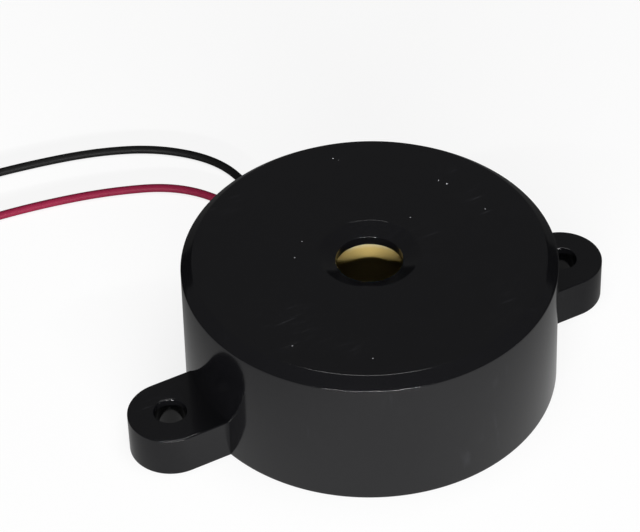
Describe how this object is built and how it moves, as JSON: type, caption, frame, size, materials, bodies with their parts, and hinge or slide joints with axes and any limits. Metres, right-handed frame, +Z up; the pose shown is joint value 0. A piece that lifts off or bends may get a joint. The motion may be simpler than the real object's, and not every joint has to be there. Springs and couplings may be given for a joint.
{
  "type": "piezo buzzer",
  "caption": "Round black panel-mounting piezo buzzer with a sound hole in its top, screw ears at its base and flying leads.",
  "frame": {"origin": "centre of the flat base of the case, on the mounting plane", "axes": "+X along the line through the two screw ears, +Y towards the side where the leads come out, +Z up through the sound hole"},
  "size_m": [0.0876, 0.0749, 0.017],
  "materials": {
    "black_abs": "semi-gloss moulded ABS",
    "brass": "rolled, lightly satin",
    "pzt_ceramic": "ground, matt",
    "fired_silver": "matt fired silver",
    "white_silicone": "translucent, satin",
    "phenolic_board": "brown paper laminate",
    "copper": "lacquered copper foil",
    "solder": "bright solder",
    "tinned_wire": "bright tinned copper",
    "ferrite": "matt sintered",
    "enamelled_wire": "glossy enamel on copper",
    "shrink_sleeve": "satin shrink sleeve",
    "black_epoxy": "matt transfer-moulded epoxy",
    "resistor_lacquer": "glossy beige lacquer",
    "hookup_insulation": "satin PVC",
    "black_insulation": "satin PVC",
    "red_insulation": "satin PVC",
    "potting_resin": "poured black epoxy"
  },
  "bodies": {
    "root": {"adhesive_bead": "white_silicone", "black_lead": "black_insulation", "black_lead_core": "tinned_wire", "black_lead_tip": "tinned_wire", "board_solder": "solder", "circuit_board": "phenolic_board", "copper_tracks": "copper", "diaphragm": "brass", "diode": "black_epoxy", "diode_legs": "tinned_wire", "drive_electrode": "fired_silver", "element_solder": "solder", "feedback_electrode": "fired_silver", "hookup_wire_disc": "hookup_insulation", "hookup_wire_drive": "hookup_insulation", "hookup_wire_feedback": "hookup_insulation", "housing": "black_abs", "inductor_core": "ferrite", "inductor_legs": "tinned_wire", "inductor_sleeve": "shrink_sleeve", "inductor_winding": "enamelled_wire", "piezo_ceramic": "pzt_ceramic", "red_lead": "red_insulation", "red_lead_core": "tinned_wire", "red_lead_tip": "tinned_wire", "resin_seal": "potting_resin", "resistor_bias": "resistor_lacquer", "resistor_bias_legs": "tinned_wire", "resistor_feedback": "resistor_lacquer", "resistor_feedback_legs": "tinned_wire", "resistor_load": "resistor_lacquer", "resistor_load_legs": "tinned_wire", "transistor_body": "black_epoxy", "transistor_legs": "tinned_wire"}
  },
  "joints": []
}
